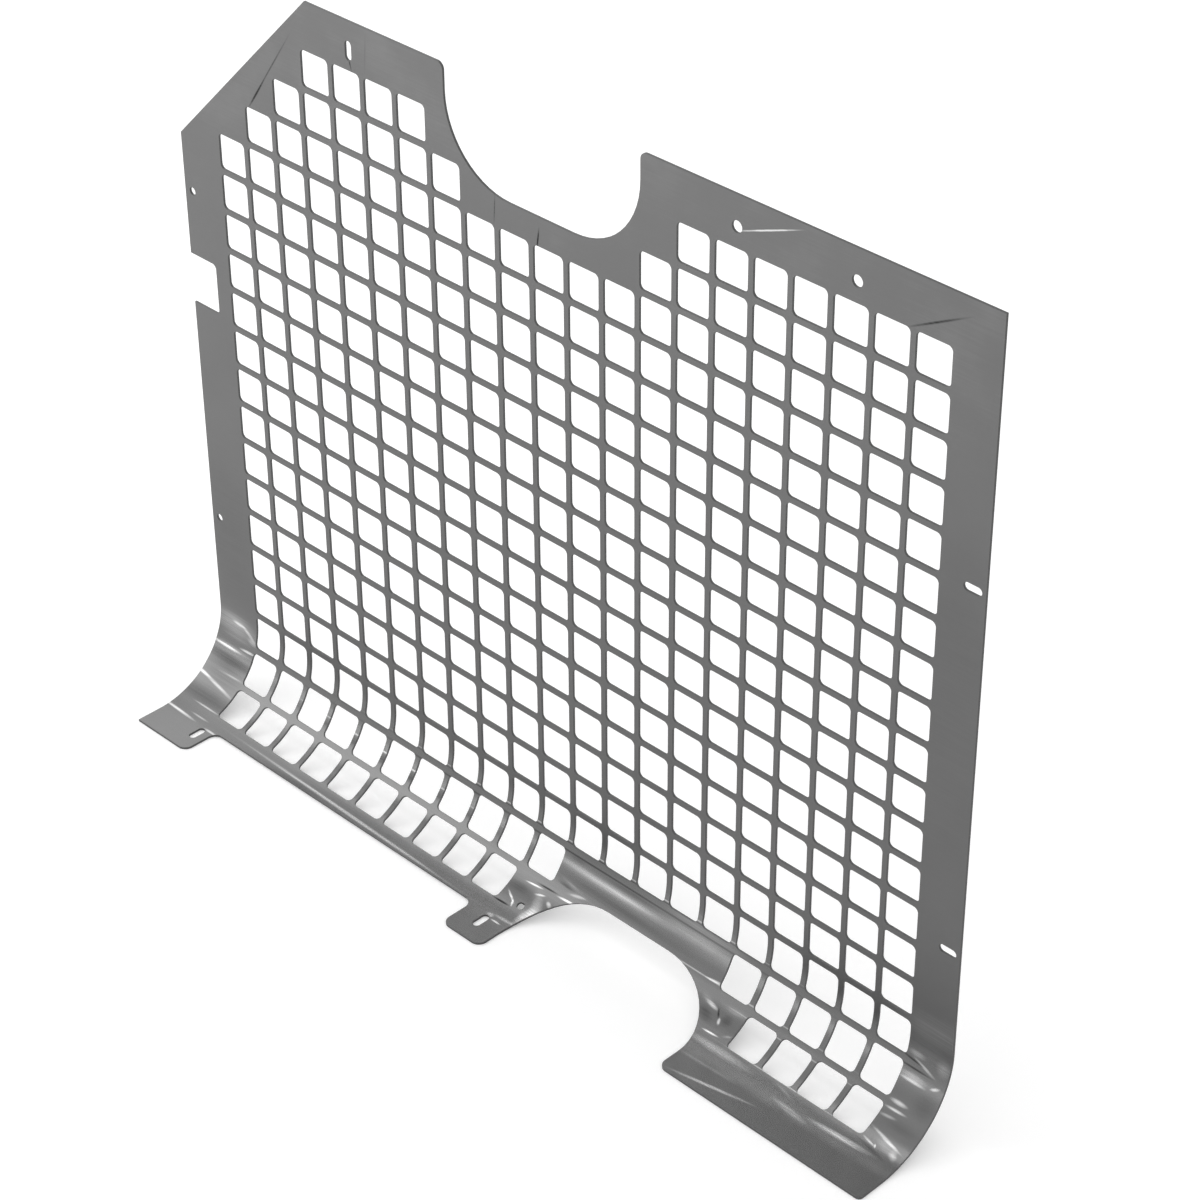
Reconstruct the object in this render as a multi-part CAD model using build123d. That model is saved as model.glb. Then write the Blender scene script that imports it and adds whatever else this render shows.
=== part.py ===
from build123d import *

import os
from math import cos, hypot, pi, sin, sqrt

# Front grille guard: one blank of sheet steel, cut flat, then rolled forward along its lower edge.
# The upright screen carries a pattern of square holes that runs on round the roll, and the roll ends in
# a short level foot, which is cut away to two bolt tabs on the left and one long flange on the right.
#
# The blank is laid out flat first. "across" is the distance from its left edge, and "down" is the
# distance from its top edge along the middle of the sheet, round the roll as well.
# Frame: +X across, -Y towards the side that the roll turns to, +Z up. The origin is at the middle of
# the width and the depth, on the underside of the foot. Millimetres.

# Sheet and bend
sheet_thickness = 2.0
inner_bend_radius = 73.5
foot_length = 23.5

# Square holes, and the metal round the pattern, measured from the centres of its outer holes.
# Their corners are sharp here: the small radii of the real ones would treble the facets.
hole_pitch = 35.0
hole_side = 30.0
columns = 21
rows = 19
left_margin = 63.0
right_margin = 55.0
top_margin = 55.0
bottom_margin = 63.0

# A square hole is left out where less metal than this would stay beside a notch
least_border = 5.0

# Top left corner, cut off at 45 degrees
chamfer_leg = 160.5

# The same notch is cut in the top and bottom edges
notch_width = 194.5
notch_depth = 86.5
notch_corner_radius = 65.0
top_notch_left = 309.0
top_lip_radius = 6.0

# Notch in the left edge
side_notch_down = 267.5
side_notch_height = 44.5
side_notch_depth = 31.0
side_notch_radius = 4.0

# Foot: tab, gap, tab, bottom notch and flange, from left to right
left_tab_width = 62.0
middle_tab_width = 42.5
tab_length = 33.5
flange_width = 200.0
foot_corner_radius = 8.0
end_corner_radius = 4.0

# Bolt holes and slots, each placed from the edge beside it
small_bolt_radius = 3.3
large_bolt_radius = 4.5
slot_length = 15.5
top_bolt_down = 24.0
top_slot_inset = 207.5
top_bolt_insets = (120.5, 225.5)
side_bolt_downs = (209.5, 516.5)
side_bolt_inset = 9.0
side_slot_inset = 11.5
foot_slot_up = 22.5
left_slot_inset = 11.0
roll_bolt_up = 53.0
roll_bolt_inset = 6.5

# How far a cutting tool stands out from the sheet, and how far it runs on past an edge
cut_clearance = 3.0
past_edge = 100.0

# Worked out from the sizes above
width = left_margin + (columns - 1) * hole_pitch + right_margin
blank_length = top_margin + (rows - 1) * hole_pitch + bottom_margin
half_sheet = sheet_thickness / 2
middle_radius = inner_bend_radius + half_sheet
outer_radius = middle_radius + half_sheet
roll_length = middle_radius * pi / 2
foot_start = blank_length - foot_length
upright_length = foot_start - roll_length
depth = outer_radius + foot_length
roll_y = depth / 2 - outer_radius
roll_z = outer_radius
top_notch_right = top_notch_left + notch_width
side_notch_end = side_notch_down + side_notch_height
bottom_notch_right = width - flange_width
bottom_notch_left = bottom_notch_right - notch_width
bottom_notch_down = blank_length - notch_depth
middle_tab_left = bottom_notch_left - middle_tab_width
tab_root_down = blank_length - tab_length

# Corner radius of the two large notches, within their walls
shortest_wall = notch_depth - 1.5 * max(top_lip_radius, foot_corner_radius)
notch_radius = min(notch_corner_radius, shortest_wall, 0.45 * notch_width)

# Each cut-out in an edge, open past that edge: left, right, top and bottom on the blank, corner radius
top_notch = (top_notch_left, top_notch_right, -past_edge, notch_depth, notch_radius)
side_notch = (-past_edge, side_notch_depth, side_notch_down, side_notch_end, side_notch_radius)
tab_gap = (left_tab_width, middle_tab_left, tab_root_down, blank_length + past_edge, foot_corner_radius)
bottom_notch = (
    bottom_notch_left,
    bottom_notch_right,
    bottom_notch_down,
    blank_length + past_edge,
    notch_radius,
)


def turn(down):
    """Angle in radians that the sheet has turned through at this distance down the blank."""
    return min(max(down - upright_length, 0), roll_length) / middle_radius


def outward(down):
    """Unit vector square to the sheet, from its hollow side to its back."""
    return Vector(0, cos(turn(down)), -sin(turn(down)))


def on_sheet(across, down, offset=0.0):
    """Place of a point of the blank on the bent part, moved out by offset from mid-thickness."""
    x = across - width / 2
    place = Vector(x, roll_y, roll_z) + outward(down) * (middle_radius + offset)
    if down < upright_length:
        return place + Vector(0, 0, upright_length - down)
    if down > foot_start:
        return place - Vector(0, down - foot_start, 0)
    return place


def run_down(across, start, end, offset):
    """Edges of the bent profile from one distance down the blank to the next."""
    stops = [start] + [d for d in (upright_length, foot_start) if start < d < end] + [end]
    edges = []
    for first, last in zip(stops, stops[1:]):
        a, b = on_sheet(across, first, offset), on_sheet(across, last, offset)
        if turn(first) == turn(last):
            edges.append(Edge.make_line(a, b))
        else:
            middle = on_sheet(across, (first + last) / 2, offset)
            edges.append(Edge.make_three_point_arc(a, middle, b))
    return edges


def bent_strip(left, right, start, end, half_depth):
    """Solid that follows the bent sheet, between two places across and two places down."""
    back = run_down(left, start, end, half_depth)
    front = run_down(left, start, end, -half_depth)
    ends = [
        Edge.make_line(on_sheet(left, d, -half_depth), on_sheet(left, d, half_depth))
        for d in (start, end)
    ]
    return extrude(Face(Wire(back + front + ends)), amount=right - left, dir=(1, 0, 0))


def cutter(left, right, start, end):
    """Tool that cuts a patch with straight sides out of the sheet."""
    return bent_strip(left, right, start, end, half_sheet + cut_clearance)


def drill(across, down, radius):
    """Tool for a round hole, square to the sheet."""
    at = Plane(origin=on_sheet(across, down), x_dir=(1, 0, 0), z_dir=outward(down))
    return at * Cylinder(radius, sheet_thickness + 2 * cut_clearance)


def slot(across, down, length_across, length_down):
    """Tool for a slot with round ends, as wide as the shorter of its two lengths."""
    radius = min(length_across, length_down) / 2
    x = length_across / 2 - radius
    s = length_down / 2 - radius
    tool = drill(across - x, down - s, radius) + drill(across + x, down + s, radius)
    flat_x = max(x, radius if s else 0)
    flat_s = max(s, radius if x else 0)
    return tool + cutter(across - flat_x, across + flat_x, down - flat_s, down + flat_s)


def rolled_notch_outline(height):
    """Outline of the bottom notch, carried on square to the sheet until it meets this height."""
    left, right, top, below, radius = bottom_notch
    steps = [step / 12 for step in range(13)]

    def carried(across, down):
        place = on_sheet(across, down)
        return place + outward(down) * (place.Z - height) / sin(turn(down))

    def corner(centre, side):
        points = []
        for step in steps:
            angle = step * pi / 2
            across = centre - side * radius * cos(angle)
            points.append(carried(across, top + radius * (1 - sin(angle))))
        return Edge.make_spline(points, parameters=steps)

    start, end = carried(left, below), carried(right, below)
    left_corner = corner(left + radius, 1)
    right_corner = corner(right - radius, -1)
    return Wire(
        [
            Edge.make_line(start, left_corner @ 0),
            left_corner,
            Edge.make_line(left_corner @ 1, right_corner @ 1),
            right_corner,
            Edge.make_line(right_corner @ 0, end),
            Edge.make_line(end, start),
        ]
    )


def rolled_notch():
    """Tool for the bottom notch, which was rolled with the sheet: its walls point at the roll's axis."""
    hollow_height = inner_bend_radius * sin(turn(bottom_notch_down))
    inside = rolled_notch_outline(roll_z - hollow_height / 2)
    outside = rolled_notch_outline(-cut_clearance)
    return Solid.make_loft([inside, outside], ruled=True)


def round_corners(sheet, places, radius):
    """Rounds the corners of the outline at these places on the blank."""
    corners = sheet.edges().filter_by(lambda e: abs(e.length - sheet_thickness) < half_sheet / 50)
    chosen = [
        corners.sort_by(lambda e: (e.center() - on_sheet(across, down)).length)[0]
        for across, down in places
    ]
    return fillet(chosen, radius)


def cut_outline():
    """The bent sheet with its outline, before any hole is cut."""
    sheet = bent_strip(0, width, 0, blank_length, half_sheet)
    corner = Polyline(
        on_sheet(-cut_clearance, -cut_clearance),
        on_sheet(chamfer_leg + cut_clearance, -cut_clearance),
        on_sheet(-cut_clearance, chamfer_leg + cut_clearance),
        close=True,
    )
    sheet -= extrude(make_face(corner), amount=sheet_thickness, dir=(0, 1, 0), both=True)
    for cut_out in (top_notch, side_notch, tab_gap):
        sheet -= cutter(*cut_out[:4])
    sheet -= rolled_notch()

    top_floor = [(top_notch_left, notch_depth), (top_notch_right, notch_depth)]
    top_lips = [(top_notch_left, 0), (top_notch_right, 0)]
    side_corners = [(side_notch_depth, side_notch_down), (side_notch_depth, side_notch_end)]
    tab_roots = [(left_tab_width, tab_root_down), (middle_tab_left, tab_root_down)]
    foot_ends = (left_tab_width, middle_tab_left, bottom_notch_left, bottom_notch_right)
    foot_corners = [(across, blank_length) for across in foot_ends]
    sheet = round_corners(sheet, top_floor, notch_radius)
    sheet = round_corners(sheet, top_lips, top_lip_radius)
    sheet = round_corners(sheet, side_corners, side_notch_radius)
    sheet = round_corners(sheet, tab_roots + foot_corners, foot_corner_radius)
    return round_corners(sheet, [(width, blank_length)], end_corner_radius)


def border(cut_out, left, top):
    """Metal between a cut-out and the square hole whose top left corner is here."""
    cut_left, cut_right, cut_top, cut_bottom, radius = cut_out
    across = max(cut_left + radius - left - hole_side, left - cut_right + radius, 0)
    down = max(cut_top + radius - top - hole_side, top - cut_bottom + radius, 0)
    return hypot(across, down) - radius


def hole_is_cut(left, top):
    """Whether the square hole whose top left corner is here stays clear of the outline."""
    borders = [border(cut_out, left, top) for cut_out in (top_notch, side_notch, tab_gap, bottom_notch)]
    borders.append((left + top - chamfer_leg) / sqrt(2))
    return min(borders) > least_border


def hole_tools():
    """The tools for the square holes, row by row."""
    tools = []
    for row in range(rows):
        top = top_margin + row * hole_pitch - hole_side / 2
        first = left_margin - hole_side / 2
        tool = cutter(first, first + hole_side, top, top + hole_side)
        for column in range(columns):
            shift = column * hole_pitch
            if hole_is_cut(first + shift, top):
                tools.append(Pos(shift, 0, 0) * tool)
    return tools


def bolt_tools():
    """The tools for the bolt holes and slots, which take the tolerance between guard and vehicle."""
    slot_width = 2 * small_bolt_radius
    tools = [slot(top_slot_inset, top_bolt_down, slot_width, slot_length)]
    tools += [drill(width - inset, top_bolt_down, large_bolt_radius) for inset in top_bolt_insets]
    for down in side_bolt_downs:
        tools.append(drill(side_bolt_inset, down, small_bolt_radius))
        tools.append(slot(width - side_slot_inset, down, slot_length, slot_width))
    for across in (left_tab_width - left_slot_inset, bottom_notch_left - middle_tab_width / 2):
        tools.append(slot(across, blank_length - foot_slot_up, slot_width, slot_length))
    roll_bolt_across = bottom_notch_left - roll_bolt_inset
    tools.append(drill(roll_bolt_across, blank_length - roll_bolt_up, small_bolt_radius))
    return tools


square_holes = hole_tools()
guard_sheet = cut_outline() - square_holes - bolt_tools()

print(f"guard {width:.1f} wide, {depth:.1f} deep, {roll_z + upright_length:.1f} high")
print(f"blank {width:.1f} x {blank_length:.1f}, {len(square_holes)} square holes")
print(f"{guard_sheet.volume * 7.85e-6:.2f} kg in steel")

os.makedirs("parts", exist_ok=True)
export_step(guard_sheet, "parts/guard_sheet.step")
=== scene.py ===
from math import cos, hypot, inf, pi, radians, sin, sqrt

import bmesh
import bpy
from mathutils import Matrix, Vector


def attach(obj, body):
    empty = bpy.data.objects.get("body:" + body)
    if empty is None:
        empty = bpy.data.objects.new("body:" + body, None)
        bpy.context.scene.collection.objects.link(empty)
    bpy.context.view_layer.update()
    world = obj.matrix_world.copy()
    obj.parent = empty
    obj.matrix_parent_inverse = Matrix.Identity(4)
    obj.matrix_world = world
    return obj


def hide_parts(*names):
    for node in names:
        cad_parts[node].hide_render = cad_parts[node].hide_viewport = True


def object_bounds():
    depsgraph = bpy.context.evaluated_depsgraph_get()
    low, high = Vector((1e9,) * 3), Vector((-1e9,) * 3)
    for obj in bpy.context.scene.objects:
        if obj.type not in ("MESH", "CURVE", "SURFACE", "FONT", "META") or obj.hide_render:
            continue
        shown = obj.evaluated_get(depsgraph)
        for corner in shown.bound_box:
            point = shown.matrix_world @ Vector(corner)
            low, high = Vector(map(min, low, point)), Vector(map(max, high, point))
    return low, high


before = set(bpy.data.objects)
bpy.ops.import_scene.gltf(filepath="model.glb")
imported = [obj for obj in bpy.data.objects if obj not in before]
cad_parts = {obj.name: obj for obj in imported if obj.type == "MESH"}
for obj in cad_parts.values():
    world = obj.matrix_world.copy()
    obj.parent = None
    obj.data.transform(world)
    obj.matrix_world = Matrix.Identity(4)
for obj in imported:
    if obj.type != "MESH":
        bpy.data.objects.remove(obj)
cad_low, cad_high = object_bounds()
scene = bpy.context.scene

# The blank of the guard: 2 mm sheet steel, cut to its outline by laser and still flat.
# It lies with x across, y down from the top edge along the sheet, and z through its thickness,
# positive towards the back. The lines across it let it be rolled, and part one hole from the next.
MM = 0.001
sheet_thickness = 2.0 * MM
half_sheet = sheet_thickness / 2
width = cad_high.x - cad_low.x
depth = cad_high.y - cad_low.y
inner_bend_radius = 73.5 * MM
middle_radius = inner_bend_radius + half_sheet
roll_length = middle_radius * pi / 2
roll_y = cad_high.y - sheet_thickness - inner_bend_radius
roll_centre = Vector((0, roll_y, inner_bend_radius + sheet_thickness))
upright_length = cad_high.z - roll_centre.z
foot_start = upright_length + roll_length
blank_length = foot_start + depth - inner_bend_radius - sheet_thickness

hole_pitch = 35 * MM
hole_side = 30 * MM
columns = 21
rows = 19
left_margin = 63 * MM
top_margin = 55 * MM

chamfer_leg = 160.5 * MM
notch_width = 194.5 * MM
notch_depth = 86.5 * MM
notch_radius = 65 * MM
top_notch_left = 309 * MM
top_notch_right = top_notch_left + notch_width
top_lip_radius = 6 * MM
flange_width = 200 * MM
bottom_notch_right = width - flange_width
bottom_notch_left = bottom_notch_right - notch_width
bottom_notch_top = blank_length - notch_depth
side_notch_top = 267.5 * MM
side_notch_bottom = 312 * MM
side_notch_depth = 31 * MM
side_notch_radius = 4 * MM
left_tab_right = 62 * MM
middle_tab_width = 42.5 * MM
middle_tab_left = bottom_notch_left - middle_tab_width
tab_length = 33.5 * MM
tab_root = blank_length - tab_length
foot_radius = 8 * MM
end_radius = 4 * MM


def rounded_outline(corners, steps):
    """Points of a closed outline whose corners are (across, down, radius), each round one an arc."""
    points = []
    for place, (across, down, radius) in enumerate(corners):
        corner = Vector((across, down))
        if radius == 0:
            points.append(corner)
            continue
        before = Vector(corners[place - 1][:2]) - corner
        after = Vector(corners[(place + 1) % len(corners)][:2]) - corner
        before.normalize()
        after.normalize()
        # All the round corners here are right angles, so the arc's centre is a radius in from both sides
        centre = corner + (before + after) * radius
        for step in range(steps + 1):
            angle = step * pi / 2 / steps
            points.append(centre - after * radius * cos(angle) - before * radius * sin(angle))
    return points


def plate(outline, low, high):
    """Closed mesh of a flat plate with this outline, from one height to another."""
    made = bmesh.new()
    bottom = made.faces.new([made.verts.new((p.x - width / 2, p.y, low)) for p in outline])
    raised = bmesh.ops.extrude_face_region(made, geom=[bottom], use_keep_orig=True)
    for item in raised["geom"]:
        if isinstance(item, bmesh.types.BMVert):
            item.co.z = high
    bmesh.ops.recalc_face_normals(made, faces=made.faces)
    return made


def as_object(made, name):
    """Object for a finished bmesh."""
    mesh = bpy.data.meshes.new(name)
    made.to_mesh(mesh)
    made.free()
    built = bpy.data.objects.new(name, mesh)
    scene.collection.objects.link(built)
    return built


outline = [
    (chamfer_leg, 0, 0),
    (top_notch_left, 0, top_lip_radius),
    (top_notch_left, notch_depth, notch_radius),
    (top_notch_right, notch_depth, notch_radius),
    (top_notch_right, 0, top_lip_radius),
    (width, 0, 0),
    (width, blank_length, end_radius),
    (bottom_notch_right, blank_length, foot_radius),
    (bottom_notch_right, bottom_notch_top, notch_radius),
    (bottom_notch_left, bottom_notch_top, notch_radius),
    (bottom_notch_left, blank_length, foot_radius),
    (middle_tab_left, blank_length, foot_radius),
    (middle_tab_left, tab_root, foot_radius),
    (left_tab_right, tab_root, foot_radius),
    (left_tab_right, blank_length, foot_radius),
    (0, blank_length, 0),
    (0, side_notch_bottom, 0),
    (side_notch_depth, side_notch_bottom, side_notch_radius),
    (side_notch_depth, side_notch_top, side_notch_radius),
    (0, side_notch_top, 0),
    (0, chamfer_leg, 0),
]
outline_steps = 14
blank = plate(rounded_outline(outline, outline_steps), -half_sheet, half_sheet)

roll_steps = 48
lines_to_a_pitch = 4
same_place = 0.001 * MM


def add_line(place, normal, first_down=-inf):
    """Adds a line of edges across or down the blank, on the part that lies lower than first_down."""
    part = [face for face in blank.faces if face.calc_center_median().y > first_down]
    edges = {edge for face in part for edge in face.edges}
    corners = {corner for face in part for corner in face.verts}
    whole = list(corners) + list(edges) + part
    bmesh.ops.bisect_plane(blank, geom=whole, plane_co=place, plane_no=normal, dist=same_place)


for row in range(rows + 1):
    add_line((0, top_margin + (row - 0.5) * hole_pitch, 0), (0, 1, 0))
for step in range(roll_steps + 1):
    add_line((0, upright_length + roll_length * step / roll_steps, 0), (0, 1, 0))
for line in range(lines_to_a_pitch * columns + 1):
    # One line between columns runs the whole way down, and the others only round the roll
    across = left_margin + (line / lines_to_a_pitch - 0.5) * hole_pitch - width / 2
    first_down = -inf if line % lines_to_a_pitch == 0 else upright_length
    add_line((across, 0, 0), (1, 0, 0), first_down)
guard = as_object(blank, "rolled_guard_sheet")

# The steel of the sheet: cold rolled, with a satin mill skin that greys what it mirrors and faint lines
# along the way it was rolled. The press that rolled its lower edge polished that part. Its colour also holds
# painted light: bright and dark streaks along the roll and foot are painted highlights and painted shade,
# and the flat part has thin painted shade and highlight lines and three wide patches of painted shade.


def linear(colour):
    """Linear colour from an sRGB hex value."""
    shares = [int(colour[at : at + 2], 16) / 255 for at in (1, 3, 5)]
    return [s / 12.92 if s <= 0.04045 else ((s + 0.055) / 1.055) ** 2.4 for s in shares] + [1]


def add(tree, kind, inputs=None, **settings):
    """Adds a node with these settings, and links or values for its inputs."""
    made = tree.nodes.new(kind)
    for name, value in settings.items():
        setattr(made, name, value)
    for key, value in (inputs or {}).items():
        if isinstance(value, bpy.types.NodeSocket):
            tree.links.new(value, made.inputs[key])
        else:
            made.inputs[key].default_value = value
    return made


# Painted highlights and painted shade along the roll and foot: a bright row lightens the steel's colour
# there, and a dark row darkens it
roll_painted_highlights_and_shade = [  # across, down, half its length, half its width, turn in degrees, and how bright
    (409, 720, 800, 170, 0, -0.13),
    (409, 621, 440, 10, 0, 0.14),
    (409, 642, 430, 6, 0, 0.14),
    (440, 626.8, 360, 1.0, 0, 0.6),
    (440, 628.6, 360, 0.8, 0, -0.6),
    (409, 635.5, 430, 1.4, 0, -0.5),
    (232, 648.5, 190, 1.4, 0, 0.6),
    (232, 655, 200, 6, 0, -0.45),
    (232, 680, 200, 9, 0, -0.35),
    (610, 662.8, 200, 1.1, 0, 0.5),
    (700, 672.8, 100, 1.0, 0, 0.4),
    (700, 699.8, 100, 1.0, 0, 0.4),
    (20, 613, 40, 9, 2, 0.2),
    (20, 622, 44, 12, 2, 0.35),
    (25, 618, 11, 2.2, 3, 0.9),
    (38, 622, 15, 2.6, 28, 0.5),
    (44, 628, 9, 3.5, 10, 0.3),
    (25, 632, 36, 5, 0, 0.12),
    (20, 642.5, 42, 4, 0, 0.2),
    (14, 643, 24, 2.0, 0, 0.7),
    (41, 638, 14, 1.8, -3, 0.8),
    (24, 653, 46, 7, 0, -0.5),
    (20, 660, 40, 4, 0, -0.2),
    (34, 664.5, 22, 1.8, -2, 0.4),
    (25, 668, 42, 16, 0, -0.25),
    (24, 677, 36, 2.6, 10, 0.5),
    (2, 673.5, 16, 2.6, 7, 0.5),
    (25, 690, 42, 14, 0, -0.2),
    (33, 699, 24, 1.5, 0, 0.5),
    (36, 710, 16, 1.6, 0, 0.4),
    (12, 715, 32, 2.2, 2.5, 0.8),
    (59, 717, 12, 1.8, 0, 0.7),
    (200, 705, 190, 6, 0, -0.1),
    (225, 710, 190, 2.4, 1.2, 0.65),
    (575, 632, 80, 16, 0, 0.26),
    (480, 645, 80, 5, 0, 0.3),
    (500, 638.5, 50, 2.8, 0, -0.3),
    (443, 638, 14, 3, 0, -0.2),
    (490, 655, 95, 5, 0, -0.2),
    (446, 658.5, 20, 2.2, 9, 0.25),
    (456, 664, 14, 2.4, -12, 0.4),
    (442, 661.5, 13, 2.2, 4, -0.4),
    (404, 692.5, 11, 1.6, 30, 0.9),
    (409, 697, 5, 1.5, 62, 0.8),
    (400, 700.5, 12, 1.3, -2, -1.1),
    (405, 682, 18, 6, -4, -0.3),
    (428, 671.3, 15, 1.1, -2, -0.9),
    (450, 671.5, 15, 1.6, -4, 1.0),
    (415, 674.5, 13, 1.3, -5, 0.9),
    (425, 679, 8, 1.3, -18, 0.6),
    (437, 682, 5, 3, 30, 0.7),
    (430, 690, 22, 9, 60, 0.45),
    (428, 702, 16, 9, 100, 0.7),
    (416, 713, 19, 3.0, -3, 0.4),
    (412, 719, 8, 1.4, 0, 0.9),
    (403, 716, 6, 3.0, 0, 0.5),
    (606, 676.5, 16, 5, 12, 0.25),
    (612, 678.5, 10, 2.6, 12, 0.6),
    (603, 662, 12, 1.5, -5, 0.9),
    (632, 674, 20, 5, -4, 0.25),
    (611, 687, 12, 6, 25, -0.3),
    (620, 681, 6, 1.3, 55, -0.8),
    (624.5, 686.5, 4.5, 2.2, 65, 0.9),
    (630, 683, 7, 6, 0, -0.3),
    (639, 693, 7, 2, -25, 0.3),
    (625, 697.5, 11, 1.4, -3, 1.1),
    (640, 706, 50, 6, 0, 0.42),
    (700, 712, 140, 14, 0, 0.12),
    (705, 704, 18, 2.5, 14, 0.15),
    (640, 723.5, 46, 3, -2, 0.25),
    (722, 716, 24, 4, 6, 0.25),
    (768, 711, 38, 3.6, -3, 0.7),
    (663, 737.3, 52, 2.4, -11.5, 0.65),
    (805, 602, 60, 30, 0, 0.2),
    (787, 624.5, 11, 4, 0, 0.3),
    (812, 625, 9, 10, 0, 0.2),
    (796, 631.5, 15, 2.0, 18, 0.6),
    (783, 630, 17, 1.4, 8, -0.8),
    (788, 636.2, 22, 1.3, 0, -0.8),
    (790, 643, 18, 6, 0, 0.25),
    (790, 646, 17, 2.2, 0, 0.5),
    (810, 642, 6, 2.0, -25, 0.6),
    (808, 658, 14, 14, 0, -0.2),
    (800, 680, 20, 6, 0, -0.15),
    (788, 665, 11, 2.6, 0, 0.9),
    (789, 671, 13, 1.8, -2, 0.8),
    (786, 677.5, 11, 2.0, -6, 0.5),
    (797, 693, 24, 2.2, 13, 0.55),
    (800, 698, 18, 6, 12, 0.2),
    (809, 701, 7, 4.5, 45, 0.35),
    (787, 701, 11, 1.6, 13, 0.5),
    (792.5, 701.5, 2.6, 1.2, 60, 0.6),
    (790, 705, 24, 2.2, 10, -0.35),
]
flat_painted_shade_and_highlights = [  # the same, painted shade and highlight lines, and at the end three wide soft patches of painted shade
    (98, 95, 24, 1.4, -55, -1.0),
    (118, 66, 52, 1.0, -55, -0.6),
    (209, 34, 8, 1.1, 75, -0.8),
    (226, 22, 20, 1.0, 95, -0.15),
    (620, 16.5, 38, 0.9, -21, 1.3),
    (764, 27.6, 36, 1.3, -28, -0.8),
    (359, 97, 18, 0.9, 94, -0.6),
    (403, 105, 13, 1.2, 98, -1.2),
    (22, 530, 60, 130, 0, -0.12),
    (800, 300, 90, 260, 0, -0.09),
    (409, 430, 620, 400, 0, -0.14),
]
streak_frame_depth = 1.5 * half_sheet
streak_core = 0.9
streak_strength = 0.5
mill_line_length = 60 * MM
mill_line_spacing = 1.5 * MM
mill_line_relief = 0.003 * MM
mill_line_strength = 0.03
cloud_size = 70 * MM
cloud_strength = 0.10
plain_tone = 0.435
flat_roughness = 0.45
rolled_roughness = 0.26
polish_fade = 20 * MM

steel = bpy.data.materials.new("steel_sheet_mill_finish_painted_light")
steel.use_nodes = True
steel_nodes = steel.node_tree
steel_shader = steel_nodes.nodes["Principled BSDF"]
steel_shader.inputs["Metallic"].default_value = 1
on_blank = add(steel_nodes, "ShaderNodeAttribute", attribute_name="on_blank").outputs["Vector"]

# Mill lines are some 0.05 mm apart, which is too fine to show, so they are drawn 1.5 mm apart
parts = {"Vector": on_blank, "Scale": (1 / mill_line_length, 1 / mill_line_spacing, 0)}
line_place = add(steel_nodes, "ShaderNodeMapping", parts).outputs[0]
mill_lines = add(steel_nodes, "ShaderNodeTexNoise", {"Vector": line_place, "Scale": 1.0}).outputs["Fac"]

# Each streak is a stretched ball of tone on the front of the sheet, too thin to reach the back. A bright one
# is a painted highlight, and a dark one is painted shade
painted_highlights_and_shade = None
for across, down, reach, half_width, turn, brightness in roll_painted_highlights_and_shade + flat_painted_shade_and_highlights:
    streak_frame = {
        "Vector": on_blank,
        "Location": (across * MM - width / 2, down * MM, -half_sheet),
        "Rotation": (0, 0, radians(turn)),
        "Scale": (reach * MM, half_width * MM, streak_frame_depth),
    }
    place = add(steel_nodes, "ShaderNodeMapping", streak_frame, vector_type="TEXTURE").outputs[0]
    inside = add(steel_nodes, "ShaderNodeTexGradient", {"Vector": place}, gradient_type="SPHERICAL")
    fading = {"Value": inside.outputs["Fac"], "From Max": streak_core, "To Max": brightness}
    # Smoothstep stops at its ends by itself. Clamping it too would give the shader too much to hold.
    soft_ends = {"interpolation_type": "SMOOTHSTEP", "clamp": False}
    streak = add(steel_nodes, "ShaderNodeMapRange", fading, **soft_ends).outputs[0]
    if painted_highlights_and_shade is None:
        painted_highlights_and_shade = streak
    else:
        painted_highlights_and_shade = add(steel_nodes, "ShaderNodeMath", {0: painted_highlights_and_shade, 1: streak}, operation="ADD").outputs[0]

# The mill lines break the streaks up: where the noise is at its middle, a streak keeps its tone
parts = {0: mill_lines, 1: 1.4, 2: 0.3}
uneven = add(steel_nodes, "ShaderNodeMath", parts, operation="MULTIPLY_ADD").outputs[0]
painted_highlights_and_shade = add(steel_nodes, "ShaderNodeMath", {0: painted_highlights_and_shade, 1: uneven}, operation="MULTIPLY").outputs[0]

# Tone from 0, darkest, through 0.5, the plain skin, to 1, brightest. Painted shade pulls it down and painted
# highlights push it up
parts = {"Vector": on_blank, "Scale": 1 / cloud_size, "Detail": 4.0}
clouding = add(steel_nodes, "ShaderNodeTexNoise", parts).outputs["Fac"]
parts = {0: clouding, 1: cloud_strength, 2: plain_tone}
tone = add(steel_nodes, "ShaderNodeMath", parts, operation="MULTIPLY_ADD").outputs[0]
parts = {0: mill_lines, 1: mill_line_strength, 2: tone}
tone = add(steel_nodes, "ShaderNodeMath", parts, operation="MULTIPLY_ADD").outputs[0]
# The painted highlights and painted shade go into the tone here
parts = {0: painted_highlights_and_shade, 1: streak_strength, 2: tone}
tone = add(steel_nodes, "ShaderNodeMath", parts, operation="MULTIPLY_ADD").outputs[0]
greys = add(steel_nodes, "ShaderNodeValToRGB", {"Fac": tone})
greys.color_ramp.elements[0].color = linear("#2c2c2c")
greys.color_ramp.elements[1].color = linear("#d4d4d4")
greys.color_ramp.elements.new(0.5).color = linear("#707070")
steel_nodes.links.new(greys.outputs["Color"], steel_shader.inputs["Base Color"])

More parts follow.
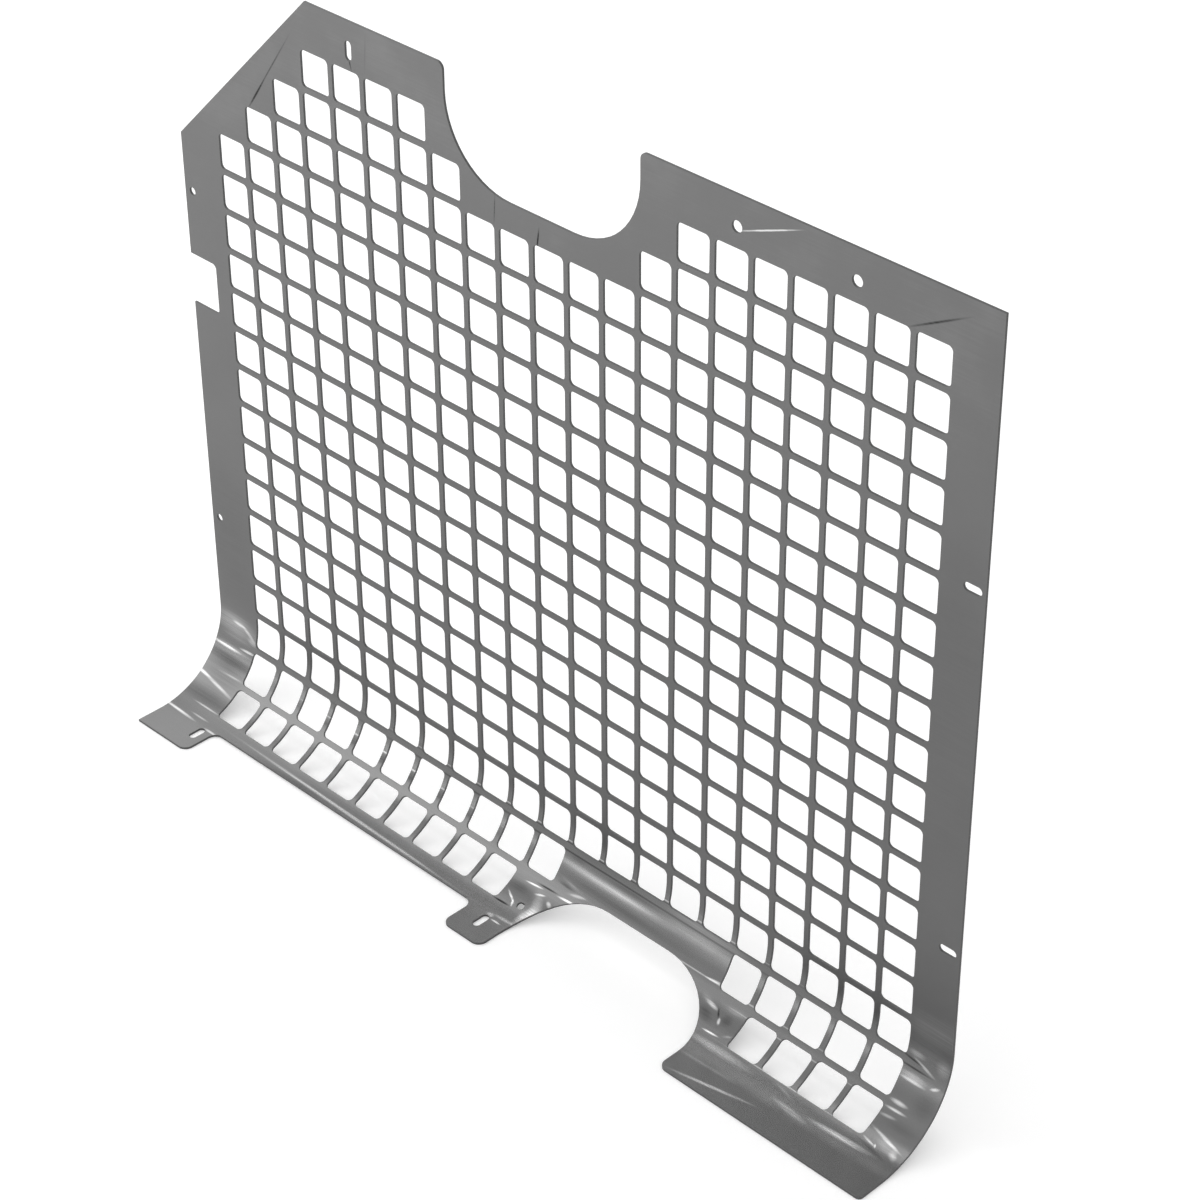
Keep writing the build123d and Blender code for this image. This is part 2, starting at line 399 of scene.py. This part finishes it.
# The rolled part is smoother than the flat, because the press polished it
parts = {
    "Value": add(steel_nodes, "ShaderNodeSeparateXYZ", {0: on_blank}).outputs["Y"],
    "From Min": upright_length - polish_fade,
    "From Max": upright_length + polish_fade,
    "To Min": flat_roughness,
    "To Max": rolled_roughness,
}
roughness = add(steel_nodes, "ShaderNodeMapRange", parts, interpolation_type="SMOOTHSTEP").outputs[0]
steel_nodes.links.new(roughness, steel_shader.inputs["Roughness"])
parts = {"Height": mill_lines, "Distance": mill_line_relief, "Strength": 1.0}
relief = add(steel_nodes, "ShaderNodeBump", parts).outputs[0]
steel_nodes.links.new(relief, steel_shader.inputs["Normal"])
guard.data.materials.append(steel)

# Laser cut edge of the same steel: duller than the sheet's skin, with fine lines through the thickness
# that the beam leaves as it goes. They are some 0.2 mm apart, and are drawn 0.8 mm apart so as to show.
beam_line_spacing = 0.8 * MM
beam_line_relief = 0.05 * MM
cut_edge = bpy.data.materials.new("steel_laser_cut_edge")
cut_edge.use_nodes = True
edge_nodes = cut_edge.node_tree
edge_shader = edge_nodes.nodes["Principled BSDF"]
edge_shader.inputs["Metallic"].default_value = 1
edge_shader.inputs["Roughness"].default_value = 0.5
edge_place = add(edge_nodes, "ShaderNodeAttribute", attribute_name="on_blank").outputs["Vector"]
parts = {"Vector": edge_place, "Scale": (1 / beam_line_spacing, 1 / beam_line_spacing, 0)}
edge_place = add(edge_nodes, "ShaderNodeMapping", parts).outputs[0]
beam_lines = add(edge_nodes, "ShaderNodeTexNoise", {"Vector": edge_place, "Scale": 1.0}).outputs["Fac"]
edge_greys = add(edge_nodes, "ShaderNodeValToRGB", {"Fac": beam_lines})
edge_greys.color_ramp.elements[0].color = linear("#444444")
edge_greys.color_ramp.elements[1].color = linear("#6e6e6e")
edge_nodes.links.new(edge_greys.outputs["Color"], edge_shader.inputs["Base Color"])
parts = {"Height": beam_lines, "Distance": beam_line_relief, "Strength": 1.0}
edge_relief = add(edge_nodes, "ShaderNodeBump", parts).outputs[0]
edge_nodes.links.new(edge_relief, edge_shader.inputs["Normal"])

# The square holes, cut in a grid while the sheet is flat. A hole is left out where it would leave
# less than 5 mm of metal to a notch or to the cut-off corner.
least_border = 5 * MM
hole_corner_radius = 4 * MM
past_edge = 1.0
cut_outs = [  # left, right, top and bottom, and the radius of the corners
    (top_notch_left, top_notch_right, -past_edge, notch_depth, notch_radius),
    (-past_edge, side_notch_depth, side_notch_top, side_notch_bottom, side_notch_radius),
    (left_tab_right, middle_tab_left, tab_root, blank_length + past_edge, foot_radius),
    (bottom_notch_left, bottom_notch_right, bottom_notch_top, blank_length + past_edge, notch_radius),
]


def border(cut_out, left, top):
    """Metal between a cut-out and the square hole whose top left corner is here."""
    cut_left, cut_right, cut_top, cut_bottom, radius = cut_out
    across = max(cut_left + radius - left - hole_side, left - cut_right + radius, 0)
    down = max(cut_top + radius - top - hole_side, top - cut_bottom + radius, 0)
    return hypot(across, down) - radius


centres = bmesh.new()
for row in range(rows):
    for column in range(columns):
        left = left_margin + column * hole_pitch - hole_side / 2
        top = top_margin + row * hole_pitch - hole_side / 2
        to_chamfer = (left + top - chamfer_leg) / sqrt(2)
        if min([to_chamfer] + [border(cut_out, left, top) for cut_out in cut_outs]) > least_border:
            centres.verts.new((left + hole_side / 2 - width / 2, top + hole_side / 2, 0))
print(len(centres.verts), "square holes")
hole_centres = as_object(centres, "hole_centres")

# Bolt holes and slots, cut by the laser with the outline and open right through, as nothing is bolted in.
# The two larger holes at the top take 8 mm bolts. The others, and the slots, take 6 mm ones, and a slot
# lets its bolt move so that the guard can be lined up.
small_bolt = 2 * 3.3 * MM
large_bolt = 2 * 4.5 * MM
slot_length = 15.5 * MM
top_bolt_down = 24 * MM
top_slot_across = 207.5 * MM
top_bolt_insets = (120.5 * MM, 225.5 * MM)
side_bolt_downs = (209.5 * MM, 516.5 * MM)
side_bolt_inset = 9 * MM
side_slot_inset = 11.5 * MM
foot_slot_up = 22.5 * MM
left_foot_slot_inset = 11 * MM
roll_bolt_inset = 6.5 * MM
roll_bolt_up = 53 * MM
bolt_steps = 8


def bolt_hole(across, down, length_across, length_down):
    """Outline of a slot, or of a round hole where its two lengths are the same."""
    x = length_across / 2
    y = length_down / 2
    radius = min(x, y)
    corners = [(-x, -y), (x, -y), (x, y), (-x, y)]
    return rounded_outline([(across + a, down + d, radius) for a, d in corners], bolt_steps)


bolt_holes = [bolt_hole(top_slot_across, top_bolt_down, small_bolt, slot_length)]
for inset in top_bolt_insets:
    bolt_holes.append(bolt_hole(width - inset, top_bolt_down, large_bolt, large_bolt))
for down in side_bolt_downs:
    bolt_holes.append(bolt_hole(side_bolt_inset, down, small_bolt, small_bolt))
    bolt_holes.append(bolt_hole(width - side_slot_inset, down, slot_length, small_bolt))
for across in (left_tab_right - left_foot_slot_inset, bottom_notch_left - middle_tab_width / 2):
    bolt_holes.append(bolt_hole(across, blank_length - foot_slot_up, small_bolt, slot_length))
roll_bolt_down = blank_length - roll_bolt_up
bolt_holes.append(bolt_hole(bottom_notch_left - roll_bolt_inset, roll_bolt_down, small_bolt, small_bolt))

tools = bmesh.new()
for hole in bolt_holes:
    tool = plate(hole, -2 * sheet_thickness, 2 * sheet_thickness)
    piece = bpy.data.meshes.new("bolt_tool")
    tool.to_mesh(piece)
    tool.free()
    tools.from_mesh(piece)
bolt_tools = as_object(tools, "bolt_tools")

# Cutting: a square with round corners is set on each hole centre as a tool, and all the tools are taken
# out of the blank at once, as the laser cuts every opening in one pass.


def geometry_tree(name, sizes):
    """Empty Geometry Nodes tree with a named input for each size, and its start and end nodes."""
    tree = bpy.data.node_groups.new(name, "GeometryNodeTree")
    tree.interface.new_socket("Geometry", in_out="INPUT", socket_type="NodeSocketGeometry")
    for size, kind in sizes.items():
        tree.interface.new_socket(size, in_out="INPUT", socket_type="NodeSocket" + kind)
    tree.interface.new_socket("Geometry", in_out="OUTPUT", socket_type="NodeSocketGeometry")
    return tree, tree.nodes.new("NodeGroupInput").outputs, tree.nodes.new("NodeGroupOutput")


def use_tree(piece, tree, values):
    """Adds the tree to the piece as a modifier, with a value for each named input."""
    modifier = piece.modifiers.new(tree.name, "NODES")
    modifier.node_group = tree
    for socket in tree.interface.items_tree:
        if socket.in_out == "INPUT" and socket.name in values:
            modifier[socket.identifier] = values[socket.name]


cutting, given, result = geometry_tree(
    "cut_openings",
    {
        "Hole centres": "Object",
        "Bolt tools": "Object",
        "Hole side": "Float",
        "Corner radius": "Float",
        "Tool height": "Float",
        "Sheet finish": "Material",
    },
)
parts = {"Width": given["Hole side"], "Height": given["Hole side"]}
square = add(cutting, "GeometryNodeCurvePrimitiveQuadrilateral", parts)
parts = {"Curve": square.outputs["Curve"], "Radius": given["Corner radius"], "Count": 6}
round_square = add(cutting, "GeometryNodeFilletCurve", parts, mode="POLY")
below = add(cutting, "ShaderNodeMath", {0: given["Tool height"], 1: -0.5}, operation="MULTIPLY")
above = add(cutting, "ShaderNodeMath", {0: given["Tool height"], 1: 0.5}, operation="MULTIPLY")
start = add(cutting, "ShaderNodeCombineXYZ", {"Z": below.outputs[0]})
end = add(cutting, "ShaderNodeCombineXYZ", {"Z": above.outputs[0]})
rise = add(cutting, "GeometryNodeCurvePrimitiveLine", {"Start": start.outputs[0], "End": end.outputs[0]})
parts = {"Curve": rise.outputs["Curve"], "Profile Curve": round_square.outputs["Curve"], "Fill Caps": True}
square_tool = add(cutting, "GeometryNodeCurveToMesh", parts)
places = add(cutting, "GeometryNodeObjectInfo", {"Object": given["Hole centres"]})
parts = {"Points": places.outputs["Geometry"], "Instance": square_tool.outputs["Mesh"]}
square_tools = add(cutting, "GeometryNodeInstanceOnPoints", parts)
square_tools = add(cutting, "GeometryNodeRealizeInstances", {"Geometry": square_tools.outputs["Instances"]})
round_tools = add(cutting, "GeometryNodeObjectInfo", {"Object": given["Bolt tools"]})
all_tools = add(cutting, "GeometryNodeJoinGeometry")
cutting.links.new(square_tools.outputs["Geometry"], all_tools.inputs[0])
cutting.links.new(round_tools.outputs["Geometry"], all_tools.inputs[0])
parts = {"Mesh 1": given["Geometry"], "Mesh 2": all_tools.outputs["Geometry"]}
cut = add(cutting, "GeometryNodeMeshBoolean", parts, operation="DIFFERENCE", solver="MANIFOLD")
cut = add(cutting, "GeometryNodeRealizeInstances", {"Geometry": cut.outputs["Mesh"]})
parts = {"Geometry": cut.outputs["Geometry"], "Material": given["Sheet finish"]}
cut = add(cutting, "GeometryNodeSetMaterial", parts)
cutting.links.new(cut.outputs["Geometry"], result.inputs["Geometry"])
use_tree(
    guard,
    cutting,
    {
        "Hole centres": hole_centres,
        "Bolt tools": bolt_tools,
        "Hole side": hole_side,
        "Corner radius": hole_corner_radius,
        "Tool height": 4 * sheet_thickness,
        "Sheet finish": steel,
    },
)

# The cut edges of the whole sheet, inside the openings too, broken by 0.2 mm after cutting so that they
# are safe to handle. What shows of it is a thin line of light along an edge.
broken_edges = guard.modifiers.new("broken_edges", "BEVEL")
broken_edges.width = 0.2 * MM
broken_edges.segments = 1
broken_edges.limit_method = "ANGLE"
broken_edges.angle_limit = pi / 3
broken_edges.use_clamp_overlap = False

# Rolling: the flat sheet with its openings is turned through 90 degrees along its lower edge, round a
# cylinder on its front side, so each wall of a hole or notch stays square to the sheet. The press leaves
# slight ripples in the roll.
ripple_height = 0.9 * MM
ripple_across = 90 * MM
ripple_down = 16 * MM
ripple_seed = 7.0
layout_margin = 4 * MM
squarely = 0.9
rolling, given, result = geometry_tree(
    "roll_lower_edge",
    {
        "Upright length": "Float",
        "Foot start": "Float",
        "Middle radius": "Float",
        "Roll centre": "Vector",
        "Ripple height": "Float",
        "Ripple length across": "Float",
        "Ripple length down": "Float",
        "Ripple seed": "Float",
        "Half thickness": "Float",
        "Layout low": "Vector",
        "Layout high": "Vector",
        "Sheet finish": "Material",
        "Edge finish": "Material",
    },
)
flat_place = add(rolling, "GeometryNodeInputPosition").outputs[0]
flat = add(rolling, "ShaderNodeSeparateXYZ", {0: flat_place}).outputs
parts = {
    "Value": flat["Y"],
    "From Min": given["Upright length"],
    "From Max": given["Foot start"],
    "To Min": 0.0,
    "To Max": -pi / 2,
}
angle = add(rolling, "ShaderNodeMapRange", parts, clamp=True).outputs["Result"]

# Ripples that grow from nothing at each end of the roll to their full height half way round it
parts = {0: flat["X"], 1: given["Ripple length across"]}
across = add(rolling, "ShaderNodeMath", parts, operation="DIVIDE")
parts = {0: flat["Y"], 1: given["Ripple length down"]}
down = add(rolling, "ShaderNodeMath", parts, operation="DIVIDE")
parts = {"X": across.outputs[0], "Y": down.outputs[0], "Z": given["Ripple seed"]}
ripple_place = add(rolling, "ShaderNodeCombineXYZ", parts)
parts = {"Vector": ripple_place.outputs[0], "Scale": 1.0, "Detail": 1.0}
ripple = add(rolling, "ShaderNodeTexNoise", parts)
ripple = add(rolling, "ShaderNodeMath", {0: ripple.outputs["Fac"], 1: 0.5}, operation="SUBTRACT")
parts = {0: ripple.outputs[0], 1: given["Ripple height"]}
ripple = add(rolling, "ShaderNodeMath", parts, operation="MULTIPLY")
fade = add(rolling, "ShaderNodeMath", {0: angle, 1: 2.0}, operation="MULTIPLY")
fade = add(rolling, "ShaderNodeMath", {0: fade.outputs[0]}, operation="SINE")
fade = add(rolling, "ShaderNodeMath", {0: fade.outputs[0], 1: 2.0}, operation="POWER")
ripple = add(rolling, "ShaderNodeMath", {0: ripple.outputs[0], 1: fade.outputs[0]}, operation="MULTIPLY")

# A point turns about the roll's centre, and goes straight on above and beyond the roll
radius = add(rolling, "ShaderNodeMath", {0: flat["Z"], 1: given["Middle radius"]}, operation="ADD")
radius = add(rolling, "ShaderNodeMath", {0: radius.outputs[0], 1: ripple.outputs[0]}, operation="ADD")
arm = add(rolling, "ShaderNodeCombineXYZ", {"X": flat["X"], "Y": radius.outputs[0]})
parts = {"Vector": arm.outputs[0], "Angle": angle}
turned = add(rolling, "ShaderNodeVectorRotate", parts, rotation_type="X_AXIS")
higher = add(rolling, "ShaderNodeMath", {0: given["Upright length"], 1: flat["Y"]}, operation="SUBTRACT")
higher = add(rolling, "ShaderNodeMath", {0: higher.outputs[0], 1: 0.0}, operation="MAXIMUM")
further = add(rolling, "ShaderNodeMath", {0: given["Foot start"], 1: flat["Y"]}, operation="SUBTRACT")
further = add(rolling, "ShaderNodeMath", {0: further.outputs[0], 1: 0.0}, operation="MINIMUM")
run = add(rolling, "ShaderNodeCombineXYZ", {"Y": further.outputs[0], "Z": higher.outputs[0]})
place = add(rolling, "ShaderNodeVectorMath", {0: turned.outputs[0], 1: run.outputs[0]}, operation="ADD")
place = add(rolling, "ShaderNodeVectorMath", {0: place.outputs[0], 1: given["Roll centre"]}, operation="ADD")

# The finishes follow each point's place on the blank, and a face that stood upright there is a cut edge
parts = {"Geometry": given["Geometry"], "Name": "on_blank", "Value": flat_place}
marked = add(rolling, "GeometryNodeStoreNamedAttribute", parts, data_type="FLOAT_VECTOR")
parts = {0: add(rolling, "GeometryNodeInputNormal").outputs[0]}
facing = add(rolling, "GeometryNodeFieldOnDomain", parts, data_type="FLOAT_VECTOR", domain="FACE")
facing = add(rolling, "ShaderNodeSeparateXYZ", {0: facing.outputs[0]}).outputs
slope = add(rolling, "ShaderNodeMath", {0: facing["Z"]}, operation="ABSOLUTE")
is_edge = add(rolling, "ShaderNodeMath", {0: slope.outputs[0], 1: squarely}, operation="LESS_THAN")
parts = {"Geometry": marked.outputs["Geometry"], "Name": "is_edge", "Value": is_edge.outputs[0]}
marked = add(rolling, "GeometryNodeStoreNamedAttribute", parts, data_type="BOOLEAN", domain="FACE")

# The skin's layout, for a flat picture of the finishes. The front lies as it does on the blank, each wall
# is unfolded into the opening beside it, and the plain back is drawn small, as if seen from behind.
wall_stretch = 1.4
front_low = 0.2
back_high = 0.195
is_back = add(rolling, "ShaderNodeMath", {0: facing["Z"], 1: squarely}, operation="GREATER_THAN")
unfolded = add(rolling, "ShaderNodeMath", {0: flat["Z"], 1: given["Half thickness"]}, operation="ADD")
unfolded = add(rolling, "ShaderNodeMath", {0: unfolded.outputs[0], 1: wall_stretch}, operation="MULTIPLY")
parts = {0: unfolded.outputs[0], 1: is_edge.outputs[0]}
unfolded = add(rolling, "ShaderNodeMath", parts, operation="MULTIPLY")
sideways = add(rolling, "ShaderNodeCombineXYZ", {"X": facing["X"], "Y": facing["Y"]})
sideways = add(rolling, "ShaderNodeVectorMath", {0: sideways.outputs[0]}, operation="NORMALIZE")
parts = {0: sideways.outputs[0], "Scale": unfolded.outputs[0]}
sideways = add(rolling, "ShaderNodeVectorMath", parts, operation="SCALE")
laid_out = add(rolling, "ShaderNodeVectorMath", {0: flat_place, 1: sideways.outputs[0]}, operation="ADD")
# Inputs 7 to 10 of a Map Range are the least and the most that it takes and gives, as vectors
spread = {"Vector": laid_out.outputs[0], 7: given["Layout low"], 8: given["Layout high"]}
parts = {**spread, 9: (0, front_low, 0), 10: (1, 1, 0)}
of_front = add(rolling, "ShaderNodeMapRange", parts, data_type="FLOAT_VECTOR").outputs["Vector"]
parts = {**spread, 9: (1, 0, 0), 10: (0, back_high, 0)}
of_back = add(rolling, "ShaderNodeMapRange", parts, data_type="FLOAT_VECTOR").outputs["Vector"]
parts = {"Switch": is_back.outputs[0], "False": of_front, "True": of_back}
layout = add(rolling, "GeometryNodeSwitch", parts, input_type="VECTOR")
parts = {"Geometry": marked.outputs["Geometry"], "Name": "OFBake", "Value": layout.outputs[0]}
marked = add(rolling, "GeometryNodeStoreNamedAttribute", parts, data_type="FLOAT2", domain="CORNER")

parts = {"Geometry": marked.outputs["Geometry"], "Position": place.outputs[0]}
rolled = add(rolling, "GeometryNodeSetPosition", parts)
rolled = add(rolling, "GeometryNodeRealizeInstances", {"Geometry": rolled.outputs["Geometry"]})
parts = {"Geometry": rolled.outputs["Geometry"], "Material": given["Sheet finish"]}
finished = add(rolling, "GeometryNodeSetMaterial", parts)
edge_faces = add(rolling, "GeometryNodeInputNamedAttribute", {"Name": "is_edge"}, data_type="BOOLEAN")
parts = {
    "Geometry": finished.outputs["Geometry"],
    "Selection": edge_faces.outputs["Attribute"],
    "Material": given["Edge finish"],
}
finished = add(rolling, "GeometryNodeSetMaterial", parts)
rolling.links.new(finished.outputs["Geometry"], result.inputs["Geometry"])
use_tree(
    guard,
    rolling,
    {
        "Upright length": upright_length,
        "Foot start": foot_start,
        "Middle radius": middle_radius,
        "Roll centre": roll_centre,
        "Ripple height": ripple_height,
        "Ripple length across": ripple_across,
        "Ripple length down": ripple_down,
        "Ripple seed": ripple_seed,
        "Half thickness": half_sheet,
        "Layout low": (-width / 2 - layout_margin, blank_length + layout_margin, 0),
        "Layout high": (width / 2 + layout_margin, -layout_margin, 1),
        "Sheet finish": steel,
        "Edge finish": cut_edge,
    },
)

# The finished guard, one piece of metal with nothing joined to it. It stands for the whole sheet of the
# solid model, and is bolted to the vehicle, so it doesn't move.
bpy.context.view_layer.update()
evaluated = guard.evaluated_get(bpy.context.evaluated_depsgraph_get())
guard_mesh = bpy.data.meshes.new_from_object(evaluated)
guard.modifiers.clear()
guard.data = guard_mesh
guard_mesh.shade_smooth()
guard_mesh.set_sharp_from_angle(angle=pi / 7)
for tool in (hole_centres, bolt_tools):
    bpy.data.objects.remove(tool)
print(len(guard_mesh.vertices), "vertices", len(guard_mesh.polygons), "faces")

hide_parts("guard_sheet")
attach(guard, "root")

# Studio: a plain pale floor of matt paper that runs back out of sight, and a pale world past it. Both
# are brighter where they are seen or mirrored than as light on the guard, so that they read as white.
floor_reach = 20
floor_glow = 0.2
world_light = 0.84


def shown_white(tree):
    """Adds nodes that give 1 to rays from the camera, a mirror or glass, and 0 to the rest."""
    seen = add(tree, "ShaderNodeLightPath").outputs
    parts = {0: seen["Is Camera Ray"], 1: seen["Is Glossy Ray"]}
    shown = add(tree, "ShaderNodeMath", parts, operation="ADD")
    parts = {0: shown.outputs[0], 1: seen["Is Transmission Ray"]}
    return add(tree, "ShaderNodeMath", parts, operation="ADD").outputs[0]


floor_mesh = bmesh.new()
bmesh.ops.create_grid(floor_mesh, x_segments=1, y_segments=1, size=floor_reach)
floor = as_object(floor_mesh, "studio_floor")
paper = bpy.data.materials.new("white_backdrop_paper")
paper.use_nodes = True
paper_nodes = paper.node_tree
paper_shader = paper_nodes.nodes["Principled BSDF"]
paper_shader.inputs["Base Color"].default_value = linear("#f4f4f4")
paper_shader.inputs["Roughness"].default_value = 1.0
paper_shader.inputs["Specular IOR Level"].default_value = 0.0
paper_shader.inputs["Emission Color"].default_value = linear("#ffffff")
parts = {0: shown_white(paper_nodes), 1: floor_glow}
glow = add(paper_nodes, "ShaderNodeMath", parts, operation="MULTIPLY").outputs[0]
paper_nodes.links.new(glow, paper_shader.inputs["Emission Strength"])
floor.data.materials.append(paper)

world = bpy.data.worlds.new("studio")
scene.world = world
world.use_nodes = True
world_nodes = world.node_tree
background = world_nodes.nodes["Background"]
background.inputs["Color"].default_value = linear("#ffffff")
parts = {0: shown_white(world_nodes), 1: 1 - world_light, 2: world_light}
strength = add(world_nodes, "ShaderNodeMath", parts, operation="MULTIPLY_ADD").outputs[0]
world_nodes.links.new(strength, background.inputs["Strength"])

# Lamps: five soft boxes, a large one to the left, two strips that draw the bright bands along the roll,
# and two more above and behind. The camera doesn't see them.


def softbox(name, place, aim, size, radiance):
    """Area lamp of this width and height, turned to face a point, as bright as this all over its face."""
    lamp = bpy.data.lights.new(name, "AREA")
    lamp.shape = "RECTANGLE"
    lamp.size = size[0]
    lamp.size_y = size[1]
    lamp.energy = radiance * pi * size[0] * size[1]
    held = bpy.data.objects.new(name, lamp)
    held.location = place
    held.rotation_mode = "QUATERNION"
    held.rotation_quaternion = (Vector(aim) - Vector(place)).to_track_quat("-Z", "Y")
    held.visible_camera = False
    scene.collection.objects.link(held)


softbox("side_softbox", (-2.3, -1.5, 1.5), (-1.4, -0.8, 0.0), (1.75, 1.75), 1.7)
softbox("low_strip", (-1.15, -1.75, 0.30), (0, 0, 0.05), (1.5, 0.2), 2.8)
softbox("high_strip", (-0.5, -0.1, 1.9), (0.3, 0, 0.05), (0.6, 0.25), 3)
softbox("overhead_softbox", (-1.1, 0.45, 1.6), (0, 0, 0.03), (1.4, 0.8), 1.5)
softbox("back_softbox", (-1.8, 0.95, 1.25), (-0.3, 0, 0.0), (0.7, 0.7), 0.9)

# The camera looks down at the guard from its right, over the side that the roll turns to, through a long
# lens. Its three axes are its own right, up and back.
camera_data = bpy.data.cameras.new("camera")
camera_data.lens = 99.98
camera_data.sensor_width = 36
camera = bpy.data.objects.new("camera", camera_data)
right = Vector((0.70715, 0.70705, -0.00546))
up = Vector((-0.39604, 0.40247, 0.82533))
back = Vector((0.58574, -0.58146, 0.56463))
camera_place = Matrix.Translation((1.4971, -1.38535, 1.6915))
camera.matrix_world = camera_place @ Matrix((right, up, back)).transposed().to_4x4()
scene.collection.objects.link(camera)
scene.camera = camera

scene.view_settings.view_transform = "Standard"
